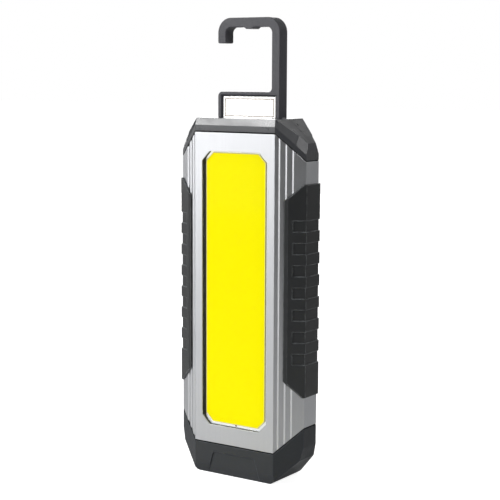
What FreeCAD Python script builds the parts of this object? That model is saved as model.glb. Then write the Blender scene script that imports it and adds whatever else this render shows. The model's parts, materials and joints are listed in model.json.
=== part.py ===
"""A rechargeable work light: ribbed aluminium body, light panel, folding magnetic hook.

X runs across the light, -Y is the lit front, +Z is up. The origin is the middle of the
flat foot of the bottom cap. Heights in the text below are measured from the light's middle.
"""
import FreeCAD, Part
import os
import re

import Sketcher

DIMENSIONS = {
    # aluminium body
    "centre_height": 92.5,        # the middle of the body above the foot
    "body_half_width": 36.0,
    "body_half_depth": 13.0,
    "front_half_width": 23.1,     # flat front, between the two ribbed flanks
    "side_half_depth": 5.6,
    "body_half_height": 76.7,     # on the flat front; the corners are mitred at 45 degrees
    "wall": 1.3,
    "overcut": 3.0,               # how far slanting cuts reach past the material
    "inner_front_half_width": 22.2,
    "inner_side_half_depth": 4.6,
    "inner_half_width": 34.5,
    "first_step": 1.4,            # flank ribs: steps that face the front
    "step_width": 0.85,
    "step_pitch": 2.8,
    "seam": 0.7,                  # thickness of each cap seal
    "rail_inner": 22.6,           # two rails that carry the heat plate
    "rail_outer": 28.6,
    "peg_radius": 2.0,            # the grips' pegs
    "peg_low": 26.0,
    "peg_high": 36.0,
    # window, lens and light panel
    "window_half_width": 18.9,
    "window_half_height": 67.7,
    "window_corner": 4.5,
    "lens_gap": 0.12,
    "lens_front": 12.7,
    "lens_skin": 0.8,
    "lens_rim": 1.05,
    "lens_end_rim": 0.35,
    "flange_front": 11.4,
    "board_front": 10.8,
    "board_half_width": 21.2,
    "board_half_height": 70.0,
    "panel_front": 11.6,
    "panel_half_width": 16.95,
    "panel_half_height": 66.4,
    "panel_middle": 0.4,          # the panel's middle sits this far above the window's
    "panel_corner": 3.9,
    "dam_width": 0.4,
    "plate_front": 9.6,
    "plate_back": 8.6,
    "plate_half_width": 25.0,
    "rail_half_height": 60.0,
    "wire_hole_x": 8.0,
    "wire_hole_height": 64.5,     # below the middle
    "wire_hole_half_size": 3.0,
    # caps
    "plug_depth": 4.0,
    "plug_gap": 0.15,
    "plateau_height": 83.6,
    "plateau_half_width": 22.9,
    "shoulder_x": 32.4,
    "shoulder_height": 75.7,
    "knee_x": 35.6,
    "knee_height": 72.5,
    "side_top": 69.8,             # the side leans in above this
    "side_rim": 67.3,             # the rim line starts here and climbs at 45 degrees
    "bevel_run": 0.9,             # how far the front leans in above the rim line
    "flank_bevel_run": 1.25,      # the same on the flanks, measured along Y
    "facet_start": 31.8,          # the flanks lean in more steeply from here outwards
    "facet_bevel_run": 1.7,
    "bead_height": 0.05,
    "bead_half_width": 0.12,
    "foot_half_width": 21.9,
    "foot_slope_x": 34.3,
    "foot_slope_height": 80.2,
    "foot_side_height": 73.9,
    "foot_crease": 4.3,
    "foot_lean": 0.4,
    "foot_round": 3.8,
    "foot_edge": 0.4,             # bevel of the foot's front and back edges
    "notch_height": 11.1,         # shallow recess on the front and its two widths
    "notch_depth": 0.6,
    "notch_foot_half_width": 15.8,
    "notch_top_half_width": 12.2,
    "notch_corner": 1.5,
    "notch_fillet": 0.5,
    "cavity_half_width": 17.6,
    "cavity_half_depth": 9.5,
    "cavity_floor": 3.5,
    "screw_x": 20.4,
    "screw_y": 9.9,
    "screw_radius": 1.0,
    "screw_head_radius": 1.7,
    "screw_head_height": 1.4,
    "screw_length": 12.0,
    "screw_seat": 4.5,            # depth of the head's seat below the top cap's end
    "foot_screw_seat": 9.5,       # the same above the foot
    "boss_radius": 2.2,
    # hook and its hinge
    "slot_half_width": 18.4,
    "slot_front": 1.5,
    "slot_floor": 77.25,
    "hook_front": 1.1,
    "hook_thickness": 6.76,
    "hook_half_width": 17.9,
    "hook_bottom": 77.55,
    "hook_top": 131.6,
    "hook_bar": 4.55,
    "hook_tip": 119.4,
    "hook_loop_top": 96.05,
    "loop_half_width": 15.2,
    "loop_bottom": 83.2,
    "loop_ceiling": 93.9,
    "loop_bevel": 0.95,
    "hook_corner": 7.2,
    "hook_shelf_round": 2.2,
    "hook_tip_round": 0.8,
    "hook_face_round": 0.35,
    "tooth_half_width": 2.8,
    "tooth_tip_half_width": 1.6,
    "tooth_height": 0.9,
    "pivot_y": 2.28,
    "pivot_height": 80.9,
    "pin_radius": 1.0,
    "pin_play": 0.05,
    "pin_left": 25.6,
    "pin_right": 24.6,
    "knock_out_radius": 0.45,
    "washer_radius": 3.2,
    "magnet_sink": 0.9,           # the magnet's face behind the hook's front
    "magnet_rim": 0.95,
    "magnet_gap": 0.3,
    "magnet_depth": 4.3,
    "magnet_cup_base": 1.2,
    "magnet_corner": 0.5,
    # grips
    "grip_start": 27.1,
    "grip_full": 29.1,
    "grip_edge": 0.25,
    "grip_proud": 0.8,
    "grip_top": 45.4,
    "grip_bottom": 41.1,
    "grip_run": 8.0,
    "grip_bevel": 0.9,
    "grip_end_round": 0.45,
    "recess_start": 31.0,
    "recess_depth": 0.5,
    "recess_height": 5.36,
    "recess_pitch": 10.65,
    "recess_lowest": 33.0,
    "recess_count": 7,
    # power button and its switch
    "button_height": 6.85,
    "button_half_width": 3.3,
    "button_half_height": 2.3,
    "button_proud": 0.8,
    "button_gap": 0.15,
    "button_travel": 0.5,
    "button_flange": 0.8,
    "stem_radius": 1.5,
    "stem_end": 32.0,
    "plunger_end": 30.9,
    "switch_front": 31.3,
    "switch_back": 28.0,
    "switch_half_size": 3.0,
    "switch_board_back": 26.8,
    # cells, boards and charging port
    "cell_radius": 9.2,
    "cell_length": 65.0,
    "cell_rim_round": 0.5,
    "cell_x": 9.5,
    "cell_y": 1.55,
    "cell_base": 31.5,
    "driver_half_width": 17.4,
    "driver_front": 1.6,
    "driver_thickness": 1.2,
    "driver_groove": 1.3,
    "part_height": 1.5,
    "port_half_width": 4.47,
    "port_half_depth": 1.58,
    "port_length": 7.3,
    "port_wall": 0.3,
    "port_corner": 1.3,
    "flap_recess_half_width": 9.0,
    "flap_recess_front": 5.2,
    "flap_recess_back": 5.6,
    "flap_recess_depth": 2.2,
    "flap_front": 4.9,
    "flap_low": 0.5,
    "flap_thickness": 1.5,
    "flap_pin_y": 4.4,
    "flap_pin_height": 1.25,
    "flap_pin_radius": 0.5,
    "nail_front": 6.8,
    "nail_half_width": 3.0,
    "wire_radius": 0.65,
}

document = FreeCAD.newDocument("work_light")
sheet = document.addObject("Spreadsheet::Sheet", "dims")
for row, (alias, number) in enumerate(DIMENSIONS.items(), 1):
    sheet.set(f"A{row}", alias)
    sheet.set(f"B{row}", str(number))
    sheet.setAlias(f"B{row}", alias)
document.recompute()

# Expressions that several pieces share. The run of each mitred corner is the same in X and Z.
CORNER_RUN = "(body_half_width - front_half_width)"
FLANK_SLOPE = f"((body_half_depth - side_half_depth) / {CORNER_RUN})"
SIDE_HALF_HEIGHT = f"(body_half_height - {CORNER_RUN})"
FLANK_STRETCH = f"sqrt(1 + {FLANK_SLOPE} ^ 2)"    # thickness along Y over thickness
HOOK_BACK = "(hook_thickness - hook_front)"
PEG_HEIGHTS = ("-peg_low", "peg_high")
THROUGH_DEPTH = ("-body_half_depth - 1", "body_half_depth + 1")    # Y levels past both faces

# World axis normal to each sketch plane, and the sign of the sketch's own normal along it.
PLANE_SIGN = {"XY_Plane": 1, "XZ_Plane": -1, "YZ_Plane": 1}

nodes = []


# ---------------------------------------------------------------- drawing helpers

def bound(expression):
    """The expression with every sheet name written as a reference to the sheet."""
    def reference(word):
        return "dims." + word.group(0) if word.group(0) in DIMENSIONS else word.group(0)
    return re.sub(r"[a-z_]+", reference, expression)


def value(expression):
    return float(sheet.evalExpression(bound(expression)))


def bind(item, property_name, expression):
    item.setExpression(property_name, bound(expression))


def up(height):
    """A height measured from the light's middle, as a Z coordinate."""
    return f"(centre_height + ({height}))"


def keep(item, name):
    """Names a finished piece; the name is also its file."""
    item.Label = name
    nodes.append(item)
    return item


def new_body(name):
    return keep(document.addObject("PartDesign::Body", name), name)


def draw(body, plane, level, polygons=(), circles=()):
    """A sketch at a level along its plane's normal, every corner bound to the sheet."""
    sketch = body.newObject("Sketcher::SketchObject", "outline")
    support = next(item for item in body.Origin.OriginFeatures if item.Role == plane)
    sketch.AttachmentSupport = (support, [""])
    sketch.MapMode = "FlatFace"
    bind(sketch, "AttachmentOffset.Base.z", level)
    for corners in polygons:
        first = sketch.GeometryCount
        count = len(corners)
        points = [FreeCAD.Vector(value(x), value(y), 0) for x, y in corners]
        for step in range(count):
            sketch.addGeometry(Part.LineSegment(points[step], points[(step + 1) % count]), False)
        for step in range(count):
            joined = first + (step + 1) % count
            sketch.addConstraint(Sketcher.Constraint("Coincident", first + step, 2, joined, 1))
            place_point(sketch, first + step, 1, corners[step])
    for x, y, radius in circles:
        centre = FreeCAD.Vector(value(x), value(y), 0)
        up_normal = FreeCAD.Vector(0, 0, 1)
        circle = sketch.addGeometry(Part.Circle(centre, up_normal, value(radius)), False)
        place_point(sketch, circle, 3, (x, y))
        size = sketch.addConstraint(Sketcher.Constraint("Radius", circle, value(radius)))
        bind(sketch, f"Constraints[{size}]", radius)
    return sketch


def place_point(sketch, geometry, point, place):
    for kind, expression in zip(("DistanceX", "DistanceY"), place):
        rule = Sketcher.Constraint(kind, -1, 1, geometry, point, value(expression))
        number = sketch.addConstraint(rule)
        bind(sketch, f"Constraints[{number}]", expression)


def pad(body, plane, low, high, polygons=(), circles=()):
    """Material between two levels along the world axis normal to the plane."""
    level = low if PLANE_SIGN[plane] > 0 else f"-({high})"
    feature_sketch = draw(body, plane, level, polygons, circles)
    return add_feature(body, "PartDesign::Pad", feature_sketch, low, high)


def pocket(body, plane, low, high, polygons=(), circles=()):
    """Material taken away between two levels; a pocket runs against its sketch's normal."""
    level = high if PLANE_SIGN[plane] > 0 else f"-({low})"
    feature_sketch = draw(body, plane, level, polygons, circles)
    return add_feature(body, "PartDesign::Pocket", feature_sketch, low, high)


def add_feature(body, kind, profile, low, high):
    feature = body.newObject(kind, kind.split("::")[1].lower())
    feature.Profile = profile
    bind(feature, "Length", f"({high}) - ({low})")
    body.Tip = feature
    return feature


def dress_edges(body, kind, size_name, size, chosen):
    """Fillets or chamfers every edge of the body so far for which chosen(edge) is true."""
    document.recompute()
    base = body.Tip
    edges = [f"Edge{number}" for number, edge in enumerate(base.Shape.Edges, 1) if chosen(edge)]
    feature = body.newObject(kind, kind.split("::")[1].lower())
    feature.Base = (base, edges)
    bind(feature, size_name, size)
    body.Tip = feature


def round_edges(body, radius, chosen):
    dress_edges(body, "PartDesign::Fillet", "Radius", radius, chosen)


def bevel_edges(body, size, chosen):
    dress_edges(body, "PartDesign::Chamfer", "Size", size, chosen)


def middle(edge):
    return edge.valueAt((edge.FirstParameter + edge.LastParameter) / 2)


def near(first, second):
    return abs(first - second) < 0.01


def upright_at(x_places, z_places):
    """A chooser for edges along Y at the given corner points, read from the sheet."""
    corners = [(value(x), value(z)) for x, z in zip(x_places, z_places)]

    def chosen(edge):
        spot = middle(edge)
        along_y = near(edge.Vertexes[0].X, edge.Vertexes[-1].X) and near(
            edge.Vertexes[0].Z, edge.Vertexes[-1].Z)
        return along_y and any(near(spot.x, x) and near(spot.z, z) for x, z in corners)
    return chosen


def box(name, x, y, z):
    """A Part box from (low, high) pairs of expressions."""
    solid = document.addObject("Part::Box", name)
    for axis, side, (low, high) in zip("xyz", ("Length", "Width", "Height"), (x, y, z)):
        bind(solid, f"Placement.Base.{axis}", low)
        bind(solid, side, f"({high}) - ({low})")
    return solid


def cylinder(name, axis, centre, span, radius):
    """A Part cylinder along axis x, y or z; centre holds its other two coordinates in order."""
    turns = {
        "x": FreeCAD.Rotation(FreeCAD.Vector(0, 1, 0), 90),
        "y": FreeCAD.Rotation(FreeCAD.Vector(1, 0, 0), -90),
        "z": FreeCAD.Rotation(),
    }
    solid = document.addObject("Part::Cylinder", name)
    solid.Placement = FreeCAD.Placement(FreeCAD.Vector(), turns[axis])
    others = [letter for letter in "xyz" if letter != axis]
    for letter, expression in zip([axis] + others, [span[0]] + list(centre)):
        bind(solid, f"Placement.Base.{letter}", expression)
    bind(solid, "Radius", radius)
    bind(solid, "Height", f"({span[1]}) - ({span[0]})")
    return solid


def fuse(name, shapes):
    joined = document.addObject("Part::MultiFuse", name)
    joined.Shapes = shapes
    return joined


def cut(name, base, tool):
    result = document.addObject("Part::Cut", name)
    result.Base = base
    result.Tool = tool
    return result


def group(name, shapes):
    """Separate solids that share one node."""
    compound = document.addObject("Part::Compound", name)
    compound.Links = shapes
    return keep(compound, name)


# ---------------------------------------------------------------- outlines

def flank_depth(x):
    """Half depth of the smooth flank at X."""
    return f"(body_half_depth - (({x}) - front_half_width) * {FLANK_SLOPE})"


def mirrored(quarter):
    """A closed outline from its corners in the +X +Y quarter, ordered from +Y towards +X."""
    right_front = [(x, f"-({y})") for x, y in quarter]
    left_front = [(f"-({x})", f"-({y})") for x, y in reversed(quarter)]
    left_back = [(f"-({x})", y) for x, y in quarter]
    return right_front + list(reversed(quarter)) + left_back + left_front


def octagon(inset="0"):
    """The smooth outer section of the light, which both caps have."""
    return mirrored([
        (f"front_half_width - ({inset}) / 2", f"body_half_depth - ({inset})"),
        (f"body_half_width - ({inset})", f"side_half_depth - ({inset}) / 2"),
    ])


def bore(inset="0"):
    """The hollow inside the aluminium body."""
    return mirrored([
        (f"inner_front_half_width - ({inset}) / 2", f"body_half_depth - wall - ({inset})"),
        (f"inner_half_width - ({inset})", f"inner_side_half_depth - ({inset}) / 2"),
    ])


def ribbed_octagon():
    """The octagon with three saw-tooth ribs cut into each flank."""
    quarter = [("front_half_width", "body_half_depth")]
    for rib in range(3):
        root = f"(front_half_width + first_step + {rib} * step_pitch)"
        crest = f"({root} + step_width)"
        quarter += [(root, flank_depth(crest)), (crest, flank_depth(crest))]
    quarter.append(("body_half_width", "side_half_depth"))
    return mirrored(quarter)


def chamfered(half_width, half_height, corner, centre):
    """A rectangle with cut corners in X and Z."""
    across = f"(({half_width}) - ({corner}))"
    tall = f"(({half_height}) - ({corner}))"
    right = [(across, half_height), (half_width, tall), (half_width, f"-{tall}"),
             (across, f"-({half_height})")]
    left = [(f"-({x})", z) for x, z in reversed(right)]
    return [(x, f"{centre} + ({z})") for x, z in right + left]


def rectangle(x, y):
    return [(x[0], y[0]), (x[1], y[0]), (x[1], y[1]), (x[0], y[1])]


def seam_region(side, offset, far):
    """From the mitred seam, moved outwards by an offset, to a far level.

    The side is 1 for the top end and -1 for the bottom end.
    """
    reach = "(body_half_width + 2)"
    flat = f"{side} * (body_half_height + ({offset}))"
    low = f"{side} * ({SIDE_HALF_HEIGHT} - 2 + ({offset}))"
    outer = f"{side} * ({far})"
    corners = [(f"-{reach}", low), ("-front_half_width", flat), ("front_half_width", flat),
               (reach, low), (reach, outer), (f"-{reach}", outer)]
    return [(x, up(z)) for x, z in corners]


# ---------------------------------------------------------------- aluminium body

def make_housing():
    body = new_body("housing_extrusion")
    ends = (up("-body_half_height"), up("body_half_height"))
    pad(body, "XY_Plane", *ends, [ribbed_octagon()])
    pocket(body, "XY_Plane", *ends, [bore()])
    bosses = [(f"{side} * screw_x", "screw_y", "boss_radius") for side in (-1, 1)]
    pad(body, "XY_Plane", *ends, circles=bosses)
    for side in (-1, 1):
        rail = rectangle((f"{side} * rail_inner", f"{side} * rail_outer"),
                         ("-plate_back", "-plate_back + 1"))
        pad(body, "XY_Plane", up("-rail_half_height"), up("rail_half_height"), [rail])
    holes = [(x, y, "screw_radius + 0.05") for x, y, _ in bosses]
    pocket(body, "XY_Plane", *ends, circles=holes)
    for side in (-1, 1):
        mitre = seam_region(side, "0", "body_half_height + 20")
        pocket(body, "XZ_Plane", *THROUGH_DEPTH, [mitre])
    window = chamfered("window_half_width", "window_half_height", "window_corner", "centre_height")
    pocket(body, "XZ_Plane", "-body_half_depth - 1", "wall + 0.5 - body_half_depth", [window])
    pocket(body, "YZ_Plane", "-body_half_width - 1", "0.5 - inner_half_width",
           [button_outline("button_gap")])
    for low, high in (("-body_half_width - 1", "0.5 - inner_half_width"),
                      ("inner_half_width - 0.5", "body_half_width + 1")):
        pegs = [("0", up(height), "peg_radius + 0.05") for height in PEG_HEIGHTS]
        pocket(body, "YZ_Plane", low, high, circles=pegs)


def button_outline(gap):
    """The button's outline in Y and Z, grown by a gap."""
    y = (f"-button_half_width - ({gap})", f"button_half_width + ({gap})")
    z = (up(f"button_height - button_half_height - ({gap})"),
         up(f"button_height + button_half_height + ({gap})"))
    return rectangle(y, z)


# ---------------------------------------------------------------- window and light panel

def make_lens():
    """A clear tray: its raised middle fills the window, its flange sits behind the wall."""
    body = new_body("lens")
    plug = chamfered("window_half_width - lens_gap", "window_half_height - lens_gap",
                     "window_corner", "centre_height")
    hollow = chamfered("window_half_width - lens_gap - lens_rim",
                       "window_half_height - lens_gap - lens_end_rim", "window_corner - 0.4",
                       "centre_height")
    flange = rectangle(("-board_half_width", "board_half_width"),
                       (up("-board_half_height"), up("board_half_height")))
    pad(body, "XZ_Plane", "-lens_front", "-flange_front", [plug])
    pad(body, "XZ_Plane", "-flange_front", "-board_front", [flange])
    pocket(body, "XZ_Plane", "lens_skin - lens_front", "0.5 - board_front", [hollow])


def make_lens_gasket():
    body = new_body("lens_gasket")
    outer = rectangle(("-board_half_width", "board_half_width"),
                      (up("-board_half_height"), up("board_half_height")))
    inner = chamfered("window_half_width + 0.2", "window_half_height + 0.2", "window_corner",
                      "centre_height")
    pad(body, "XZ_Plane", "wall - body_half_depth", "-flange_front", [outer, inner])


def panel_outline(growth):
    return chamfered(f"panel_half_width + ({growth})", f"panel_half_height + ({growth})",
                     f"panel_corner + ({growth}) / 2", "centre_height + panel_middle")


def make_light_panel():
    panel = new_body("phosphor_panel")
    pad(panel, "XZ_Plane", "-panel_front", "-board_front", [panel_outline("0")])
    dam = new_body("phosphor_dam")
    outlines = [panel_outline("dam_width"), panel_outline("0")]
    pad(dam, "XZ_Plane", "-panel_front - 0.05", "-board_front", outlines)


def make_panel_backing():
    """The light board, its thermal pad and the aluminium heat plate, slid in on two rails."""
    board_x = ("-board_half_width", "board_half_width")
    board_z = (up("-board_half_height"), up("board_half_height"))
    keep(box("led_board", board_x, ("-board_front", "-board_front + 1"), board_z), "led_board")
    slim_z = (up("1 - board_half_height"), up("board_half_height - 9"))
    hole = rectangle(
        ("wire_hole_x - wire_hole_half_size", "wire_hole_x + wire_hole_half_size"),
        (up("-wire_hole_height - wire_hole_half_size"),
         up("wire_hole_half_size - wire_hole_height")))
    for name, half_width, front, back in (
            ("thermal_pad", "board_half_width", "1 - board_front", "-plate_front"),
            ("heat_plate", "plate_half_width", "-plate_front", "-plate_back")):
        body = new_body(name)
        outline = rectangle((f"-{half_width}", half_width), slim_z)
        pad(body, "XZ_Plane", front, back, [outline, hole])


# ---------------------------------------------------------------- caps

def roof_point_pairs():
    """The top cap's roof line, from the plateau's edge down to the side."""
    return [("plateau_half_width", "plateau_height"), ("shoulder_x", "shoulder_height"),
            ("knee_x", "knee_height"), ("body_half_width", "side_top")]


def foot_point_pairs():
    """The bottom cap's underside line, from the foot's edge up to the side."""
    return [("foot_half_width", "-centre_height"), ("foot_slope_x", "-foot_slope_height"),
            ("body_half_width", "-foot_side_height")]


def trim_to_line(body, points, far):
    """Cuts both upper or lower corners of a cap back to a line in X and Z."""
    line = [(x, up(z)) for x, z in points]
    outside = [("body_half_width + 2", line[-1][1]), ("body_half_width + 2", up(far)),
               (line[0][0], up(far))]
    right = line + outside
    left = [(f"-({x})", z) for x, z in right]
    pocket(body, "XZ_Plane", *THROUGH_DEPTH, [right, left])


def start_cap(name, side, far):
    """The octagonal cap above its seal, with a plug that enters the body."""
    body = new_body(name)
    low = f"{side} * ({SIDE_HALF_HEIGHT} - plug_depth)"
    inner, outer = sorted((low, f"{side} * ({far})"), key=value)
    pad(body, "XY_Plane", up(inner), up(outer), [octagon()])
    seam = seam_region(side, "seam", "0")
    pocket(body, "XZ_Plane", *THROUGH_DEPTH, [seam])
    return body


def add_plug(body, side):
    """The plug reaches into the bore as far as the seam line moved by plug_depth."""
    ends = sorted((f"{side} * ({SIDE_HALF_HEIGHT} - plug_depth)",
                   f"{side} * (body_half_height + 1)"), key=value)
    inside = document.addObject("PartDesign::Body", f"{body.Name}_plug")
    pad(inside, "XY_Plane", up(ends[0]), up(ends[1]), [bore("plug_gap")])
    pocket(inside, "XZ_Plane", *THROUGH_DEPTH, [seam_region(side, "-plug_depth", "0")])
    pocket(inside, "XZ_Plane", *THROUGH_DEPTH, [seam_region(side, "1", "body_half_height + 20")])
    notches = [(f"{way} * screw_x", "screw_y", "boss_radius + 0.2") for way in (-1, 1)]
    seam_end = sorted((f"{side} * (body_half_height - plug_depth - 1)",
                       f"{side} * (body_half_height + 0.1)"), key=value)
    pocket(inside, "XY_Plane", up(seam_end[0]), up(seam_end[1]), circles=notches)
    boolean = body.newObject("PartDesign::Boolean", "plug_joined")
    boolean.Type = "Fuse"
    boolean.addObjects([inside])
    body.Tip = boolean


def screw_holes(body, side, head_seat, outer):
    """Clearance holes and countersunk seats for the two screws of a cap."""
    places = [f"{way} * screw_x" for way in (-1, 1)]
    inner = f"{side} * (body_half_height - plug_depth - 1)"
    ends = sorted((inner, outer), key=value)
    pocket(body, "XY_Plane", up(ends[0]), up(ends[1]),
           circles=[(x, "screw_y", "screw_radius + 0.1") for x in places])
    ends = sorted((head_seat, outer), key=value)
    pocket(body, "XY_Plane", up(ends[0]), up(ends[1]),
           circles=[(x, "screw_y", "screw_head_radius + 0.1") for x in places])


def bevel_rim(body):
    """Leans the front, back and flanks inwards above a rim line parallel to the seam.

    On a flank the rim line runs at 45 degrees, so its cut is one slanted prism that follows it.
    """
    rim = f"(side_rim + {CORNER_RUN})"
    rise = f"(plateau_height - {rim})"
    for front in (-1, 1):
        edge = f"{front} * body_half_depth"
        lean = [(edge, up(rim)), (f"{front} * (body_half_depth - bevel_run)", up("plateau_height")),
                (f"{front} * (body_half_depth - bevel_run)", up("plateau_height + 1")),
                (f"{front} * (body_half_depth + 1)", up("plateau_height + 1")),
                (f"{front} * (body_half_depth + 1)", up(rim))]
        pocket(body, "YZ_Plane", "-body_half_width", "body_half_width", [lean])
        for side in (-1, 1):
            lean_flank(body, side, front, "(front_half_width - overcut)", "flank_bevel_run", rise)
            lean_flank(body, side, front, "facet_start", "facet_bevel_run", rise)


def lean_flank(body, side, front, start, run, rise):
    """One flank's slanted prism, from a start in X outwards; it leans in by run over the rise."""
    level = flank_depth(start)
    rim = f"(side_rim + body_half_width - ({start}))"
    reach = f"({rise} + overcut)"
    prism = [(level, up(rim)), (f"{level} - {run} / {rise} * {reach}", up(f"{rim} + {reach}")),
             (f"{level} + overcut", up(f"{rim} + {reach}")), (f"{level} + overcut", up(rim))]
    slanted_pocket(body, side, front, start, prism, -1)


def slanted_pocket(body, side, front, start, outline, climb):
    """Takes away a prism that runs outwards along a flank, 45 degrees up or down.

    Its outline, in Y outwards and Z, is given at the X where it starts.
    """
    corners = [(f"{front} * ({y})", z) for y, z in outline]
    sketch = draw(body, "YZ_Plane", f"{side} * {start}", [corners])
    feature = add_feature(body, "PartDesign::Pocket", sketch, "0", "body_half_width")
    feature.UseCustomVector = True
    feature.AlongSketchNormal = False
    feature.Direction = FreeCAD.Vector(side, -front * value(FLANK_SLOPE), climb)


def add_parting_beads(body):
    """A fine raised line down the middle of both slopes."""
    slope = roof_point_pairs()[:3]
    raised = [(f"{x} + bead_height", f"{z} + bead_height") for x, z in reversed(slope)]
    right = [(x, up(z)) for x, z in slope + raised]
    left = [(f"-({x})", z) for x, z in right]
    pad(body, "XZ_Plane", "-bead_half_width", "bead_half_width", [right, left])


def make_top_cap():
    body = start_cap("top_cap", 1, "plateau_height")
    trim_to_line(body, roof_point_pairs(), "plateau_height + 2")
    bevel_rim(body)
    add_parting_beads(body)
    add_plug(body, 1)
    slot = rectangle(("-slot_half_width", "slot_half_width"), ("-slot_front", "body_half_depth + 1"))
    pocket(body, "XY_Plane", up("slot_floor"), up("plateau_height + 1"), [slot])
    pin = ("pivot_y", up("pivot_height"), "pin_radius + 0.02")
    pocket(body, "YZ_Plane", "-body_half_width", "pin_right + 0.1", circles=[pin])
    knock_out = ("pivot_y", up("pivot_height"), "knock_out_radius")
    pocket(body, "YZ_Plane", "pin_right - 1", "body_half_width", circles=[knock_out])
    screw_holes(body, 1, "plateau_height - screw_seat", "plateau_height + 1")


def make_bottom_cap():
    body = start_cap("bottom_cap", -1, "centre_height")
    trim_to_line(body, foot_point_pairs(), "-centre_height - 2")
    for side in (-1, 1):
        lean = [(f"{side} * (body_half_depth + 1)", "foot_crease"),
                (f"{side} * body_half_depth", "foot_crease"),
                (f"{side} * (body_half_depth - foot_lean)", "foot_edge"),
                (f"{side} * (body_half_depth - foot_lean - foot_edge)", "-0.01"),
                (f"{side} * (body_half_depth + 1)", "-0.01")]
        pocket(body, "YZ_Plane", "-body_half_width", "body_half_width", [lean])
    notch = [("-notch_foot_half_width", "-1"), ("notch_foot_half_width", "-1"),
             ("notch_top_half_width", "notch_height"), ("-notch_top_half_width", "notch_height")]
    pocket(body, "XZ_Plane", "-body_half_depth - 1", "notch_depth - body_half_depth", [notch])
    notch_corners = (("notch_top_half_width", "-notch_top_half_width"), ("notch_height",) * 2)
    round_edges(body, "notch_corner", upright_at(*notch_corners))
    round_edges(body, "notch_fillet", is_notch_floor_edge)
    round_edges(body, "foot_round", upright_at(("foot_half_width", "-foot_half_width"), ("0", "0")))
    add_plug(body, -1)
    hollow_for_driver(body)
    make_port_openings(body)
    screw_holes(body, -1, "foot_screw_seat - centre_height", "-centre_height - 1")


def is_notch_floor_edge(edge):
    """Edges where the notch's walls meet its floor."""
    floor = value("notch_depth - body_half_depth")
    level = all(near(vertex.Y, floor) for vertex in edge.Vertexes)
    return level and middle(edge).z > value("foot_crease")


def hollow_for_driver(body):
    """The space inside the bottom cap, with a groove each side for the driver board."""
    wide = "cavity_half_width"
    slim = "(cavity_half_width - driver_groove)"
    deep = "cavity_half_depth"
    groove_front = "(driver_front - 0.05)"
    groove_back = "(driver_front + driver_thickness + 0.05)"
    right = [(slim, f"-{deep}"), (slim, groove_front), (wide, groove_front), (wide, groove_back),
             (slim, groove_back), (slim, deep)]
    left = [(f"-({x})", y) for x, y in reversed(right)]
    pocket(body, "XY_Plane", "cavity_floor", up("plug_depth - body_half_height + 1"),
           [right + left])


def make_port_openings(body):
    """The flap's recess, a fingernail notch, the socket's opening and the flap's pin hole."""
    width = "flap_recess_half_width"
    recess = rectangle((f"-{width}", width), ("-flap_recess_front", "flap_recess_back"))
    nail = rectangle(("-nail_half_width", "nail_half_width"), ("-nail_front", "-flap_front"))
    pocket(body, "XY_Plane", "-1", "flap_recess_depth", [recess])
    pocket(body, "XY_Plane", "-1", "flap_thickness", [nail])
    port = rectangle(("-port_half_width - 0.15", "port_half_width + 0.15"),
                     ("-port_half_depth - 0.12", "port_half_depth + 0.12"))
    pocket(body, "XY_Plane", "0", "cavity_floor + 1", [port])
    pin = ("flap_pin_y", "flap_pin_height", "flap_pin_radius + 0.02")
    pocket(body, "YZ_Plane", f"-{width} - 1.5", f"{width} + 1.5", circles=[pin])


def make_seals():
    """A flat rubber ring in each mitred seam."""
    for name, side in (("top_cap_seal", 1), ("bottom_cap_seal", -1)):
        body = new_body(name)
        ends = sorted((f"{side} * ({SIDE_HALF_HEIGHT} - 1)", f"{side} * (body_half_height + seam)"),
                      key=value)
        pad(body, "XY_Plane", up(ends[0]), up(ends[1]), [octagon("0.15"), bore("-0.15")])
        pocket(body, "XZ_Plane", *THROUGH_DEPTH, [seam_region(side, "0", "0")])
        pocket(body, "XZ_Plane", *THROUGH_DEPTH,
               [seam_region(side, "seam", "body_half_height + 20")])


def make_cap_screws():
    """Four self-tapping screws: a round head with a cross recess on each shank."""
    screws = []
    for side, seat in ((1, up("plateau_height - screw_seat")), (-1, "foot_screw_seat")):
        tip = f"{seat} - {side} * screw_length"
        crown = f"{seat} + {side} * screw_head_height"
        for way in (-1, 1):
            number = len(screws)
            centre = (f"{way} * screw_x", "screw_y")
            shank = cylinder(f"shank_{number}", "z", centre, sorted((tip, seat), key=value),
                             "screw_radius")
            head = cylinder(f"head_{number}", "z", centre, sorted((seat, crown), key=value),
                            "screw_head_radius")
            deep = f"{seat} + {side} * 0.5"
            ends = sorted((deep, f"{seat} + {side} * 2"), key=value)
            arms = []
            for arm, (wide, long) in enumerate((("0.25", "1"), ("1", "0.25"))):
                arms.append(box(f"cross_{number}_{arm}",
                                (f"{centre[0]} - {wide}", f"{centre[0]} + {wide}"),
                                (f"{centre[1]} - {long}", f"{centre[1]} + {long}"), ends))
            whole = fuse(f"screw_blank_{number}", [shank, head])
            screws.append(cut(f"screw_{number}", whole, fuse(f"cross_{number}", arms)))
    group("cap_screws", screws)


# ---------------------------------------------------------------- hook and hinge

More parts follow.
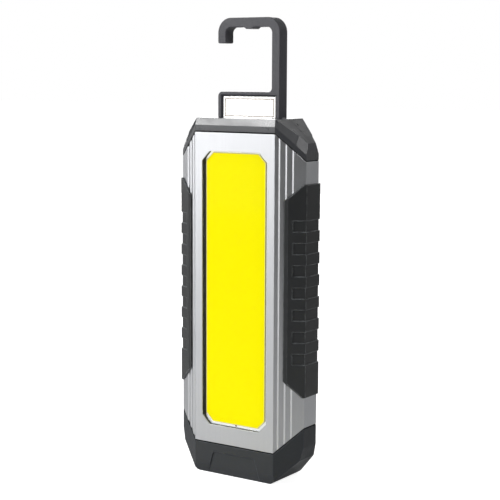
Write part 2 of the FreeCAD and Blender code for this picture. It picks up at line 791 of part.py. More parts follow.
def make_hook():
    body = new_body("hook")
    right, left = "hook_half_width", "-hook_half_width"
    inner = "(hook_half_width - hook_bar)"
    ceiling = "(hook_top - hook_bar)"
    corners = [(left, "hook_bottom"), (right, "hook_bottom"), (right, "hook_top"),
               (left, "hook_top"), (left, "hook_tip"), (f"-{inner}", "hook_tip"),
               (f"-{inner}", ceiling), ("-tooth_half_width", ceiling),
               ("-tooth_tip_half_width", f"{ceiling} - tooth_height"),
               ("tooth_tip_half_width", f"{ceiling} - tooth_height"),
               ("tooth_half_width", ceiling), (inner, ceiling), (inner, "hook_loop_top"),
               (left, "hook_loop_top")]
    loop = rectangle(("-loop_half_width", "loop_half_width"), ("loop_bottom", "loop_ceiling"))
    outlines = [[(x, up(z)) for x, z in outline] for outline in (corners, loop)]
    pad(body, "XZ_Plane", "-hook_front", HOOK_BACK, outlines)
    bevel_edges(body, "loop_bevel", is_loop_front_edge)
    pin = ("pivot_y", up("pivot_height"), "pin_radius + pin_play")
    pocket(body, "YZ_Plane", "-hook_half_width - 1", "hook_half_width + 1", circles=[pin])
    top, tip = up("hook_top"), up("hook_tip")
    round_edges(body, "hook_corner", upright_at((right, left), (top, top)))
    round_edges(body, "hook_corner - hook_bar + 0.2",
                upright_at((inner, f"-{inner}"), (up(ceiling), up(ceiling))))
    round_edges(body, "hook_shelf_round", upright_at((left, inner), (up("hook_loop_top"),) * 2))
    round_edges(body, "hook_tip_round", upright_at((left, f"-{inner}"), (tip, tip)))
    round_edges(body, "hook_thickness / 2 - 0.1", is_foot_edge)
    round_edges(body, "hook_face_round", is_hook_face_edge)


def is_loop_front_edge(edge):
    """The four edges of the loop's mouth."""
    spot = middle(edge)
    inside = abs(spot.x) < value("loop_half_width + 0.1")
    between = value(up("loop_bottom - 0.1")) < spot.z < value(up("loop_ceiling + 0.1"))
    level = near(edge.Vertexes[0].Y, edge.Vertexes[-1].Y)
    return inside and between and level and near(spot.y, value("-hook_front"))


def is_foot_edge(edge):
    """The two long bottom edges, rounded so that the foot can turn in its slot."""
    spot = middle(edge)
    return near(spot.z, value(up("hook_bottom"))) and abs(spot.x) < 1


def is_hook_face_edge(edge):
    """Edges around the front and back faces above the plateau, outside the loop."""
    spot = middle(edge)
    if spot.z < value(up("loop_ceiling")) + 1:
        return False
    faces = (value("-hook_front"), value(HOOK_BACK))
    flat = near(edge.Vertexes[0].Y, edge.Vertexes[-1].Y)
    return flat and any(near(spot.y, face) for face in faces)


def make_magnet():
    """A nickel-plated steel cup at the back of the loop's bevel, with the magnet set in it."""
    half = "(loop_half_width - 0.1)"
    low, high = up("loop_bottom + 0.1"), up("loop_ceiling - 0.1")
    face, floor = "(magnet_sink - hook_front)", "(magnet_sink + magnet_depth - hook_front)"
    cup = new_body("magnet_cup")
    pad(cup, "XZ_Plane", face, f"{floor} + magnet_cup_base",
        [rectangle((f"-{half}", half), (low, high))])
    hollow = rectangle((f"magnet_rim - {half}", f"{half} - magnet_rim"),
                       (f"{low} + magnet_rim", f"{high} - magnet_rim"))
    pocket(cup, "XZ_Plane", f"{face} - 1", floor, [hollow])
    block = new_body("magnet_block")
    inset = "(magnet_rim + magnet_gap)"
    outline = rectangle((f"{inset} - {half}", f"{half} - {inset}"),
                        (f"{low} + {inset}", f"{high} - {inset}"))
    pad(block, "XZ_Plane", face, floor, [outline])
    round_edges(block, "magnet_corner", is_along_y)


def is_along_y(edge):
    first, last = edge.Vertexes[0].Point, edge.Vertexes[-1].Point
    return near(first.x, last.x) and near(first.z, last.z)


def make_hinge():
    keep(cylinder("hinge_pin", "x", ("pivot_y", up("pivot_height")), ("-pin_left", "pin_right"),
                  "pin_radius"), "hinge_pin")
    washers = []
    for name, span in (("right", ("hook_half_width + 0.05", "slot_half_width - 0.05")),
                       ("left", ("0.05 - slot_half_width", "-hook_half_width - 0.05"))):
        centre = ("pivot_y", up("pivot_height"))
        disc = cylinder(f"washer_disc_{name}", "x", centre, span, "washer_radius")
        hole = cylinder(f"washer_hole_{name}", "x", centre, span, "pin_radius + pin_play")
        washers.append(cut(f"washer_{name}", disc, hole))
    group("hinge_washers", washers)


# ---------------------------------------------------------------- grips and button

def grip_section(side, start, edge, full, proud):
    """A band that lies on the flanks and the side face, seen from above."""
    outer = [(f"body_half_width + {proud}", f"side_half_depth + ({proud}) / 2"),
             (full, f"{flank_depth(full)} + ({proud}) * {FLANK_STRETCH}"),
             (start, f"{flank_depth(start)} + ({edge})")]
    inner = [(start, flank_depth(start)), ("body_half_width", "side_half_depth")]
    half = outer + inner
    whole = half + [(x, f"-({y})") for x, y in reversed(half)]
    return [(f"{side} * ({x})", y) for x, y in whole]


def make_grip(name, side):
    body = new_body(name)
    top, bottom = "grip_top + grip_run", "-grip_bottom - grip_run"
    section = grip_section(side, "grip_start", "grip_edge", "grip_full", "grip_proud")
    pad(body, "XY_Plane", up(bottom), up(top), [section])
    for sign, edge in ((1, "grip_top"), (-1, "grip_bottom")):
        corner = [("grip_start - 1", f"{sign} * ({edge} - 1)"),
                  ("grip_start + grip_run", f"{sign} * ({edge} + grip_run)"),
                  ("grip_start + grip_run", f"{sign} * ({edge} + grip_run + overcut)"),
                  ("grip_start - 1", f"{sign} * ({edge} + grip_run + overcut)")]
        pocket(body, "XZ_Plane", *THROUGH_DEPTH, [[(f"{side} * ({x})", up(z)) for x, z in corner]])
    round_edges(body, "grip_end_round", is_grip_end_edge)
    bevel_grip_corners(body, side)
    recess = pocket_recess(body, side)
    pattern = body.newObject("PartDesign::LinearPattern", "recess_row")
    pattern.Originals = [recess]
    upright = next(item for item in body.Origin.OriginFeatures if item.Role == "Z_Axis")
    pattern.Direction = (upright, [""])
    bind(pattern, "Length", "recess_pitch * (recess_count - 1)")
    bind(pattern, "Occurrences", "recess_count")
    body.Tip = pattern
    pegs = [("0", up(height), "peg_radius") for height in PEG_HEIGHTS]
    ends = sorted((f"{side} * (body_half_width + 0.1)", f"{side} * (inner_half_width - 0.1)"),
                  key=value)
    pad(body, "YZ_Plane", *ends, circles=pegs)
    return body


def is_grip_end_edge(edge):
    """Edges of the two ends, on the grip's outer surface."""
    spot = middle(edge)
    x, z = abs(spot.x), spot.z - value("centre_height")
    flat = near(edge.Vertexes[0].Z, edge.Vertexes[-1].Z)
    ends = (value("grip_top + grip_run"), value("-grip_bottom - grip_run"))
    return flat and x > value("body_half_width + 0.5") and any(near(z, end) for end in ends)


def bevel_grip_corners(body, side):
    """A bevel along the outer edge of each slanting end, front and back."""
    level = f"({flank_depth('grip_full')} + grip_proud * {FLANK_STRETCH})"
    deep = f"{level} - grip_bevel / 2"
    for climb, edge in ((1, "grip_top"), (-1, "grip_bottom")):
        end = f"{climb} * ({edge} + grip_full - grip_start)"
        low, high = up(f"{end} - {climb} * grip_bevel"), up(f"{end} + {climb} * overcut")
        outline = [(level, low), (deep, up(end)), (deep, high), (f"{level} + overcut", high),
                   (f"{level} + overcut", low)]
        for front in (-1, 1):
            slanted_pocket(body, side, front, "grip_full", outline, climb)


def pocket_recess(body, side):
    """The lowest recess: it thins the rubber on the side and round onto both flanks."""
    thin = "(grip_proud - recess_depth)"
    start = "recess_start"
    outer = [("body_half_width + 2", "body_half_depth"), (start, "body_half_depth")]
    inner = [(start, f"{flank_depth(start)} + {thin} * {FLANK_STRETCH}"),
             (f"body_half_width + {thin}", f"side_half_depth + {thin} / 2")]
    half = outer + inner
    whole = half + [(x, f"-({y})") for x, y in reversed(half)]
    outline = [(f"{side} * ({x})", y) for x, y in whole]
    low = up("-recess_lowest")
    return pocket(body, "XY_Plane", low, f"{low} + recess_height", [outline])


def make_left_grip():
    body = make_grip("grip_left", -1)
    pocket(body, "YZ_Plane", "-body_half_width - 3", "-body_half_width + 1",
           [button_outline("button_gap")])


def make_button():
    """The button slides inwards; its flange keeps it in, its stem meets the switch."""
    body = new_body("power_button")
    face = "(body_half_width + grip_proud)"
    pad(body, "YZ_Plane", f"-{face}", "-inner_half_width", [button_outline("0")])
    low, high = up("button_height - button_half_height"), up("button_height + button_half_height")
    wedge = [(f"-{face}", low), (f"-{face} - button_proud", f"{high} - 0.6"),
             (f"-{face} - button_proud + 0.25", high), (f"-{face}", high)]
    half = "button_half_width"
    pad(body, "XZ_Plane", f"-{half}", half, [wedge])
    flange = rectangle((f"-{half} - 1", f"{half} + 1"), (f"{low} - 1", f"{high} + 1"))
    flange_end = "(0.1 + button_flange - inner_half_width)"
    pad(body, "YZ_Plane", "0.1 - inner_half_width", flange_end, [flange])
    neck = rectangle(("-2", "2"), (f"{low} + 0.5", f"{high} - 0.5"))
    pad(body, "YZ_Plane", "-inner_half_width", "0.1 - inner_half_width", [neck])
    stem = ("0", up("button_height"), "stem_radius")
    pad(body, "YZ_Plane", flange_end, "-stem_end", circles=[stem])


def make_switch():
    """A push switch on its own small board; the plunger moves with the button."""
    centre = ("0", up("button_height"))
    keep(cylinder("switch_plunger", "x", centre, ("-stem_end", "-plunger_end"), "stem_radius"),
         "switch_plunger")
    y = ("-switch_half_size", "switch_half_size")
    z = (up("button_height - switch_half_size"), up("button_height + switch_half_size"))
    case = box("switch_case", ("-switch_front", "-switch_back"), y, z)
    well_end = "button_travel + 0.2 - plunger_end"
    well = cylinder("switch_well", "x", centre, ("-switch_front - 0.1", well_end),
                    "stem_radius + 0.06")
    keep(cut("switch_body", case, well), "switch_body")
    keep(box("switch_board", ("-switch_back", "-switch_board_back"), ("-4.6", "4.6"),
             (up("-5"), up("18"))), "switch_board")


# ---------------------------------------------------------------- cells, driver, port

def make_cells():
    cell_top = "(cell_length - cell_base)"
    for name, side in (("battery_cell_left", -1), ("battery_cell_right", 1)):
        body = new_body(name)
        place = (f"{side} * cell_x", "cell_y")
        span = (up("-cell_base"), up(cell_top))
        pad(body, "XY_Plane", *span, circles=[(*place, "cell_radius")])
        pad(body, "XY_Plane", span[1], up(f"{cell_top} + 0.6"), circles=[(*place, "3")])
        round_edges(body, "cell_rim_round", is_cell_rim)
    make_cell_holder(cell_top)
    tabs = []
    for end, low in (("top", f"{cell_top} + 0.62"), ("bottom", "-cell_base - 0.3")):
        for way in (-1, 1):
            x = (f"{way} * cell_x - 3.5", f"{way} * cell_x + 3.5")
            y = ("cell_y - 3.5", "cell_y + 3.5")
            tabs.append(box(f"tab_{end}_{way + 1}", x, y, (up(low), up(f"{low} + 0.25"))))
    group("cell_tabs", tabs)
    keep(box("cell_pad", ("-15", "15"), ("-plate_back + 0.02", "cell_y - cell_radius - 0.02"),
             (up("-28"), up("30"))), "cell_pad")


def is_cell_rim(edge):
    return edge.Curve.TypeId == "Part::GeomCircle" and near(edge.Curve.Radius,
                                                            value("cell_radius"))


def make_cell_holder(cell_top):
    """A cradle behind the two cells, with an end wall each way and an arm to the switch."""
    half = "(cell_x + cell_radius - 0.8)"
    back = "(body_half_depth - wall - 0.3)"
    body = new_body("cell_holder")
    low, high = up("-cell_base - 2.4"), up(f"{cell_top} + 2.6")
    outline = rectangle((f"-{half}", half), ("cell_y + 1", back))
    pad(body, "XY_Plane", low, high, [outline])
    arm_x = "(0.05 - switch_board_back)"
    arm_back = "cell_y + 5.8"
    arm = rectangle((arm_x, f"1 - {half}"), ("cell_y + 4", arm_back))
    foot = rectangle((arm_x, f"{arm_x} + 1.5"), ("-4", arm_back))
    for outline in (arm, foot):
        pad(body, "XY_Plane", up("-4"), up("17"), [outline])
    pocket(body, "XY_Plane", up("-cell_base - 0.6"), up(f"{cell_top} + 1"),
           circles=[(f"{way} * cell_x", "cell_y", "cell_radius + 0.1") for way in (-1, 1)])


def make_driver():
    """The driver board in its grooves, with a coil and a few parts on its back."""
    low, high = up("4.2 - centre_height"), up("-40")
    y = ("driver_front", "driver_front + driver_thickness")
    half = "(driver_half_width - 0.05)"
    keep(box("driver_board", (f"-{half}", half), y, (low, high)), "driver_board")
    behind = "driver_front + driver_thickness"
    parts = [
        cylinder("coil", "y", ("-8", up("-62")), (behind, f"{behind} + 3"), "4"),
        box("chip", ("2", "7"), (behind, f"{behind} + part_height"), (up("-66"), up("-60"))),
        box("transistor", ("10", "14"), (behind, f"{behind} + part_height"),
            (up("-62"), up("-56"))),
    ]
    for number in range(3):
        x = f"({number} * 5 - 6)"
        parts.append(box(f"capacitor_{number}", (f"{x} - 1.2", f"{x} + 1.2"),
                         (behind, f"{behind} + part_height"), (up("-53"), up("-51.4"))))
    group("driver_components", parts)
    make_port()


def make_port():
    """The charging socket: a thin oval shell with a tongue inside."""
    body = new_body("usb_socket")
    outer = rectangle(("-port_half_width", "port_half_width"),
                      ("-port_half_depth", "port_half_depth"))
    inner = rectangle(("port_wall - port_half_width", "port_half_width - port_wall"),
                      ("port_wall - port_half_depth", "port_half_depth - port_wall"))
    low = "(flap_recess_depth + 0.2)"
    pad(body, "XY_Plane", low, f"{low} + port_length", [outer])
    round_edges(body, "port_corner", is_along_z)
    pocket(body, "XY_Plane", low, f"{low} + port_length - 1", [inner])
    tongue = rectangle(("-3.3", "3.3"), ("-0.35", "0.35"))
    pad(body, "XY_Plane", f"{low} + 0.8", f"{low} + port_length - 0.5", [tongue])


def is_along_z(edge):
    first, last = edge.Vertexes[0].Point, edge.Vertexes[-1].Point
    return near(first.x, last.x) and near(first.y, last.y)


def make_port_flap():
    """The rubber cover under the charging socket and the pin it turns on."""
    body = new_body("port_flap")
    half = "(flap_recess_half_width - 0.3)"
    low, high = "flap_low", "flap_low + flap_thickness"
    cover = rectangle((f"-{half}", half), ("-flap_front", "flap_pin_y"))
    pad(body, "XY_Plane", low, high, [cover])
    barrel = ("flap_pin_y", "flap_pin_height", "flap_thickness / 2")
    pad(body, "YZ_Plane", f"-{half}", half, circles=[barrel])
    pin = ("flap_pin_y", "flap_pin_height", "flap_pin_radius + pin_play")
    pocket(body, "YZ_Plane", f"-{half} - 1", f"{half} + 1", circles=[pin])
    reach = "(flap_recess_half_width + 1.4)"
    keep(cylinder("port_flap_pin", "x", ("flap_pin_y", "flap_pin_height"),
                  (f"-{reach}", reach), "flap_pin_radius"), "port_flap_pin")


# ---------------------------------------------------------------- wires

def bent_wire(points, bend):
    """A round wire along straight runs joined by arcs of the given bend radius."""
    edges = []
    here = points[0]
    for corner, after in zip(points[1:-1], points[2:]):
        way_in = (corner - here).normalize()
        way_out = (after - corner).normalize()
        start, end = corner - way_in * bend, corner + way_out * bend
        hub = corner - way_in * bend + way_out * bend
        crown = hub + (corner - hub).normalize() * bend
        edges += [Part.LineSegment(here, start).toShape(), Part.Arc(start, crown, end).toShape()]
        here = end
    edges.append(Part.LineSegment(here, points[-1]).toShape())
    path = Part.Wire(edges)
    direction = (points[1] - points[0]).normalize()
    profile = Part.Wire(Part.makeCircle(sheet.wire_radius, points[0], direction))
    return path.makePipeShell([profile], True, False)


def add_leads(name, routes):
    """A node of separate wires; each route lists corners as X, Y and height."""
    shapes = []
    for route in routes:
        corners = [FreeCAD.Vector(x, y, sheet.centre_height + height) for x, y, height in route]
        shapes.append(bent_wire(corners, 1.5))
    piece = document.addObject("Part::Feature", name)
    piece.Shape = Part.makeCompound(shapes)
    keep(piece, name)


def make_wires():
    """Leads from the driver board to the light board, the cells and the switch."""
    board = sheet.driver_front
    light_board = 1 - sheet.board_front
    hole_x, hole_z = sheet.wire_hole_x, -sheet.wire_hole_height
    add_leads("led_wires", [
        [(x, board, -48), (x, -5, -48), (x, -5, hole_z), (x, light_board, hole_z)]
        for x in (hole_x - 1.4, hole_x + 1.4)])
    cell_end = -sheet.cell_base - 0.35
    add_leads("battery_wires", [
        [(x, -1.5, cell_end), (x, -1.5, -44.5), (x, board, -44.5)] for x in (-11.2, 11.2)])
    lying = board - sheet.wire_radius - 0.02
    add_leads("switch_wires", [
        [(x, lying, -5.1), (x, lying, height), (-12.5, lying, height)]
        for x, height in ((-28.1, -56), (-26.4, -53.5))])


# ---------------------------------------------------------------- build and export

def check_document():
    """Stops if an object failed, a pocket cut nothing or a piece is empty."""
    for item in document.Objects:
        if "Invalid" in item.State or "Error" in item.State:
            raise RuntimeError(f"{item.Label}: {item.State}")
        if item.TypeId == "PartDesign::Pocket" and item.BaseFeature:
            removed = item.BaseFeature.Shape.Volume - item.Shape.Volume
            if removed < 0.001:
                raise RuntimeError(f"{item.Label} of {item.getParent().Label} cuts nothing")
    for piece in nodes:
        if piece.Shape.isNull() or not piece.Shape.isValid() or piece.Shape.Volume <= 0:
            raise RuntimeError(f"{piece.Label} has no valid shape")


def export_nodes():
    os.makedirs("parts", exist_ok=True)
    for piece in nodes:
        piece.Shape.exportStep(f"parts/{piece.Label}.step")
        solids = len(piece.Shape.Solids)
        print(f"{piece.Label}: {solids} solid(s), {piece.Shape.Volume:.1f} mm3")


make_housing()
make_lens()
make_lens_gasket()
make_light_panel()
make_panel_backing()
make_top_cap()
make_bottom_cap()
make_seals()
make_cap_screws()
make_hook()
make_magnet()
make_hinge()
make_grip("grip_right", 1)
make_left_grip()
make_button()
make_switch()
make_cells()
make_driver()
make_port_flap()
make_wires()
document.recompute()
check_document()
export_nodes()
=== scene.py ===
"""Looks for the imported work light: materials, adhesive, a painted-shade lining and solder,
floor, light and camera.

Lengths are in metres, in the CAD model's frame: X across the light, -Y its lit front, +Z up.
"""

import json
import math

import bmesh
import bpy
from mathutils import Matrix, Vector


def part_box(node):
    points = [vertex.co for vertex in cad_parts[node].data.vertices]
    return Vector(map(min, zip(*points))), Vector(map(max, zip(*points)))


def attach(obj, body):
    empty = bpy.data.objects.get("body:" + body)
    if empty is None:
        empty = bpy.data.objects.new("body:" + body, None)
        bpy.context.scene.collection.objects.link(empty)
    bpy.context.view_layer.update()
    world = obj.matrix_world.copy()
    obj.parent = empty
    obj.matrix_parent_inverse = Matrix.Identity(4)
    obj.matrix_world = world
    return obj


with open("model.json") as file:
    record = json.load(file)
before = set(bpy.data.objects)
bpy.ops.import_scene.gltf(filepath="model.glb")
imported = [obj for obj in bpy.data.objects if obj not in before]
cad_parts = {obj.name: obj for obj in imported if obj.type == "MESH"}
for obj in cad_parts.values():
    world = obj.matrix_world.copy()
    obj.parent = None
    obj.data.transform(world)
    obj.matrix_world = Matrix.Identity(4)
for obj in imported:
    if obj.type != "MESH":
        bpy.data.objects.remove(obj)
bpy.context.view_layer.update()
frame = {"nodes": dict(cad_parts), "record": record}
nodes = frame["nodes"]

MM = 0.001
WHITE = (1, 1, 1, 1)

# Nearly all values of a noise texture lie between these two.
NOISE = (0.3, 0.7)

# The opening in the body, with its corners cut at 45 degrees, and the gap round the window in it.
WINDOW_HALF_WIDTH = 18.9 * MM
WINDOW_HALF_HEIGHT = 67.7 * MM
WINDOW_CORNER = 4.5 * MM
WINDOW_GAP = 0.12 * MM

# The light board is white up to this distance from its middle in X, and black beyond it: the black
# is painted shade for its margins beside the window's side walls.
BOARD_WHITE_HALF_WIDTH = 17.9 * MM
NO_BORDER = 1.0

# The gap between the magnet and its cup, and how far the magnet's adhesive and the window's
# painted-shade lining stay clear of the walls of a gap.
MAGNET_GAP = 0.3 * MM
BAND_CLEARANCE = 0.01 * MM


# ---------------------------------------------------------------- material helper

def shade(color, factor):
    """The colour made darker or lighter."""
    return tuple(part * factor for part in color)


class Surface:
    """A Principled material, with short calls for the textures that vary it."""

    def __init__(self, name, color, roughness, metallic=0.0, **levels):
        self.material = bpy.data.materials.new(name)
        self.material.use_nodes = True
        self.nodes = self.material.node_tree.nodes
        self.links = self.material.node_tree.links
        self.shader = self.nodes["Principled BSDF"]
        self.put("Base Color", (*color, 1))
        self.put("Roughness", roughness)
        self.put("Metallic", metallic)
        for socket, level in levels.items():
            self.put(socket.replace("_", " "), level)
        self.place = self.nodes.new("ShaderNodeTexCoord").outputs["Object"]

    def feed(self, socket, item):
        """Links a socket to another one, or sets its value."""
        if isinstance(item, bpy.types.NodeSocket):
            self.links.new(item, socket)
        else:
            socket.default_value = item

    def put(self, socket, item):
        """Sets or links an input of the shader."""
        self.feed(self.shader.inputs[socket], item)

    def noise(self, size, detail=2.0, stretch=(1, 1, 1)):
        """Cloudy variation from 0 to 1, with features about size across."""
        mapping = self.nodes.new("ShaderNodeMapping")
        self.links.new(self.place, mapping.inputs["Vector"])
        mapping.inputs["Scale"].default_value = [1 / (size * part) for part in stretch]
        texture = self.nodes.new("ShaderNodeTexNoise")
        texture.inputs["Scale"].default_value = 1.0
        texture.inputs["Detail"].default_value = detail
        self.links.new(mapping.outputs["Vector"], texture.inputs["Vector"])
        return texture.outputs["Fac"]

    def grains(self, size):
        """Rounded grains about size across: 0 at each centre, rising outwards."""
        texture = self.nodes.new("ShaderNodeTexVoronoi")
        texture.inputs["Scale"].default_value = 1 / size
        self.links.new(self.place, texture.inputs["Vector"])
        return texture.outputs["Distance"]

    def math(self, operation, first, second=0.0):
        """The result of a Math node."""
        node = self.nodes.new("ShaderNodeMath")
        node.operation = operation
        self.feed(node.inputs[0], first)
        self.feed(node.inputs[1], second)
        return node.outputs[0]

    def remap(self, item, low, high, to_low=0.0, to_high=1.0):
        """Moves the range low..high to to_low..to_high, and holds the ends."""
        node = self.nodes.new("ShaderNodeMapRange")
        for socket, number in zip(node.inputs[1:5], (low, high, to_low, to_high)):
            socket.default_value = number
        self.feed(node.inputs["Value"], item)
        return node.outputs["Result"]

    def mix(self, share, first, second):
        """A colour between two others."""
        node = self.nodes.new("ShaderNodeMix")
        node.data_type = "RGBA"
        self.feed(node.inputs["Factor"], share)
        colors = [socket for socket in node.inputs if socket.type == "RGBA"]
        for socket, color in zip(colors, (first, second)):
            self.feed(socket, (*color, 1) if isinstance(color, tuple) else color)
        return next(socket for socket in node.outputs if socket.type == "RGBA")

    def axis(self, letter):
        """The X, Y or Z coordinate."""
        node = self.nodes.new("ShaderNodeSeparateXYZ")
        self.links.new(self.place, node.inputs["Vector"])
        return node.outputs[letter]

    def rounded(self, radius):
        """Normals softened over edges, as a moulded or tumbled edge catches light."""
        node = self.nodes.new("ShaderNodeBevel")
        node.samples = 4
        node.inputs["Radius"].default_value = radius
        return node.outputs["Normal"]

    def edges(self, normal):
        """1 on edges that rounded() has softened, 0 on flat faces."""
        flat_face, soft_edge = 0.998, 0.94
        true_normal = self.nodes.new("ShaderNodeNewGeometry").outputs["Normal"]
        dot = self.nodes.new("ShaderNodeVectorMath")
        dot.operation = "DOT_PRODUCT"
        self.links.new(normal, dot.inputs[0])
        self.links.new(true_normal, dot.inputs[1])
        return self.remap(dot.outputs["Value"], flat_face, soft_edge)

    def relief(self, height, depth, normal=None):
        """Bump from a height between 0 and 1, depth metres deep."""
        node = self.nodes.new("ShaderNodeBump")
        node.inputs["Distance"].default_value = depth
        self.links.new(height, node.inputs["Height"])
        if normal is not None:
            self.links.new(normal, node.inputs["Normal"])
        self.links.new(node.outputs["Normal"], self.shader.inputs["Normal"])


# ---------------------------------------------------------------- materials

def moulded(name, color, roughness, grain, depth, edge=1.5, rounding=0.3 * MM, **levels):
    """Spark-eroded plastic or rubber: fine grain, cloudy sheen, paler edges from wear and a
    painted highlight.

    grain is how wide and depth how high the texture's grains are. An edge looks rounded by
    rounding, and its colour is edge times as pale: partly wear, partly a painted highlight.
    """
    surface = Surface(name, color, roughness, **levels)
    normal = surface.rounded(rounding)
    patches = surface.remap(surface.noise(2.5 * MM, 3), 0.35, 0.6, 0.3, 1.0)
    # Paler edges in noisy patches: partly wear, partly a painted highlight along the rounded
    # edges.
    worn_and_highlight = surface.math("MULTIPLY", surface.edges(normal), patches)
    cloud = surface.noise(9 * MM, 3)
    grains = surface.grains(grain)
    base = surface.mix(surface.remap(cloud, *NOISE), shade(color, 0.9), shade(color, 1.1))
    base = surface.mix(surface.remap(grains, 0.2, 0.8), base, shade(color, 0.8))
    surface.put("Base Color", surface.mix(worn_and_highlight, base, shade(color, edge)))
    sheen = surface.remap(cloud, *NOISE, roughness - 0.05, roughness + 0.06)
    surface.put("Roughness", surface.math("ADD", sheen, surface.remap(grains, 0, 1, -0.04, 0.05)))
    height = surface.math("ADD", grains, surface.noise(grain * 0.6, 2))
    surface.relief(height, depth, normal)
    return surface.material


def anodised_aluminium():
    """Bead-blasted, clear-anodised extrusion: satin speckle, faint lines along its length, edges
    painted near-white as a painted highlight.
    """
    color = (0.63, 0.64, 0.66)
    highlight_edge = (0.85, 0.86, 0.87)
    surface = Surface("anodised_aluminium", color, 0.4, metallic=1.0)
    normal = surface.rounded(0.25 * MM)
    speckle = surface.noise(0.22 * MM, 2)
    lines = surface.noise(0.5 * MM, 2, stretch=(1, 1, 60))
    cloud = surface.noise(14 * MM, 2)
    base = surface.mix(surface.remap(speckle, 0.35, 0.65), shade(color, 0.93), shade(color, 1.06))
    base = surface.mix(surface.remap(lines, 0.42, 0.75, 0, 0.25), base, shade(color, 0.88))
    # Painted highlight: the softened edges are painted near-white, as if they caught the light.
    surface.put("Base Color", surface.mix(surface.edges(normal), base, highlight_edge))
    surface.put("Roughness", surface.math("ADD", surface.remap(speckle, *NOISE, 0.34, 0.44),
                                          surface.remap(cloud, *NOISE, -0.02, 0.03)))
    height = surface.math("ADD", speckle, surface.math("MULTIPLY", lines, 0.4))
    surface.relief(height, 0.012 * MM, normal)
    return surface.material


def phosphor_coating():
    """Silicone filled with yellow phosphor over the light chips, warmer towards its corners, with
    a faint painted glow though the chips are not lit.
    """
    color = (0.95, 0.87, 0.0)
    patch_color = (0.92, 0.82, 0.0)
    corner_color = (0.92, 0.68, 0.0)
    # Painted glow: the faint emission keeps the yellow bright, though the chips are not lit.
    surface = Surface("phosphor_coating", color, 0.55, Specular_IOR_Level=0.02,
                      Emission_Strength=0.26)
    low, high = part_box("phosphor_panel")
    middle = (low.z + high.z) / 2
    half_height = high.z - middle
    across = surface.math("ABSOLUTE", surface.axis("X"))
    along = surface.math("ABSOLUTE", surface.math("SUBTRACT", surface.axis("Z"), middle))
    side_start, end_start = high.x * 0.62, half_height * 0.93
    nearness = surface.math("ADD", surface.remap(across, side_start, high.x),
                            surface.remap(along, end_start, half_height))
    mottle = surface.remap(surface.noise(1.2 * MM, 3), *NOISE)
    base = surface.mix(mottle, color, patch_color)
    base = surface.mix(surface.remap(nearness, 0.9, 2.0, 0, 0.75), base, corner_color)
    surface.put("Base Color", base)
    surface.put("Emission Color", base)
    surface.relief(surface.noise(0.8 * MM, 3), 0.02 * MM)
    return surface.material


def clear_lens():
    """Clear polycarbonate, with a faint moulding haze."""
    surface = Surface("clear_lens", (0.97, 0.98, 0.97), 0.04, Transmission_Weight=1.0, IOR=1.49,
                      Alpha=0.03)
    haze = surface.noise(6 * MM, 3)
    surface.put("Roughness", surface.remap(haze, 0.35, 0.7, 0.03, 0.09))
    surface.relief(surface.noise(12 * MM, 1), 0.01 * MM)
    return surface.material


def polished_nickel():
    """Bright nickel plate with hairlines from polishing and a few dull spots."""
    color = (0.9, 0.89, 0.87)
    dull = (0.66, 0.63, 0.6)
    surface = Surface("polished_nickel", color, 0.12, metallic=1.0)
    hairlines = surface.noise(0.12 * MM, 2, stretch=(40, 1, 1))
    spots = surface.remap(surface.noise(3 * MM, 4), 0.62, 0.8)
    surface.put("Base Color", surface.mix(spots, color, dull))
    surface.put("Roughness", surface.remap(hairlines, *NOISE, 0.08, 0.2))
    surface.relief(hairlines, 0.003 * MM, surface.rounded(0.15 * MM))
    return surface.material


def brushed_metal(name, color, grain, roughness):
    """Rolled or turned bare metal with streaks along its length."""
    surface = Surface(name, color, roughness, metallic=1.0)
    streaks = surface.noise(0.15 * MM, 3, stretch=grain)
    stain = surface.remap(surface.noise(4 * MM, 3), 0.4, 0.75)
    surface.put("Base Color", surface.mix(stain, color, shade(color, 0.75)))
    surface.put("Roughness", surface.remap(streaks, *NOISE, roughness - 0.08, roughness + 0.1))
    surface.relief(streaks, 0.006 * MM, surface.rounded(0.1 * MM))
    return surface.material


def circuit_board(name, mask, copper, border, **levels):
    """Solder mask over tracks that stand slightly proud, black beyond a border in X; that black is
    painted shade for shaded margins.
    """
    black = (0.04, 0.038, 0.025)
    tracks_per_metre = 160.0
    surface = Surface(name, mask, 0.3, **levels)
    # Painted shade: beyond the border the board is painted black, for margins that the window's
    # walls shade.
    outside = surface.math("GREATER_THAN", surface.math("ABSOLUTE", surface.axis("X")), border)
    # The emission, where a level turns it on, is a painted glow of the board's own colours.
    surface.put("Emission Color", surface.mix(outside, mask, black))
    tracks = surface.nodes.new("ShaderNodeTexBrick")
    tracks.inputs["Scale"].default_value = tracks_per_metre
    tracks.inputs["Mortar Size"].default_value = 0.03
    tracks.inputs["Color1"].default_value = WHITE
    tracks.inputs["Color2"].default_value = WHITE
    upright = surface.nodes.new("ShaderNodeMapping")
    upright.inputs["Rotation"].default_value = (math.radians(90), 0, 0)
    surface.links.new(surface.place, upright.inputs["Vector"])
    surface.links.new(upright.outputs["Vector"], tracks.inputs["Vector"])
    height = tracks.outputs["Fac"]
    surface.put("Base Color", surface.mix(outside, surface.mix(height, mask, copper), black))
    surface.put("Roughness", surface.remap(surface.noise(2 * MM, 3), *NOISE, 0.22, 0.42))
    surface.relief(height, 0.03 * MM)
    return surface.material


def soft_pad(name, color, cell):
    """Foam or a silicone pad with open pores, their centres painted darker as painted shade."""
    surface = Surface(name, color, 0.85)
    pores = surface.grains(cell)
    # Painted shade: pore centres are darker, as if shade fell into them.
    base = surface.mix(surface.remap(pores, 0.1, 0.7), shade(color, 0.55), color)
    surface.put("Base Color", base)
    surface.put("Roughness", surface.remap(pores, 0, 0.8, 0.95, 0.75))
    surface.relief(pores, 0.15 * MM)
    return surface.material


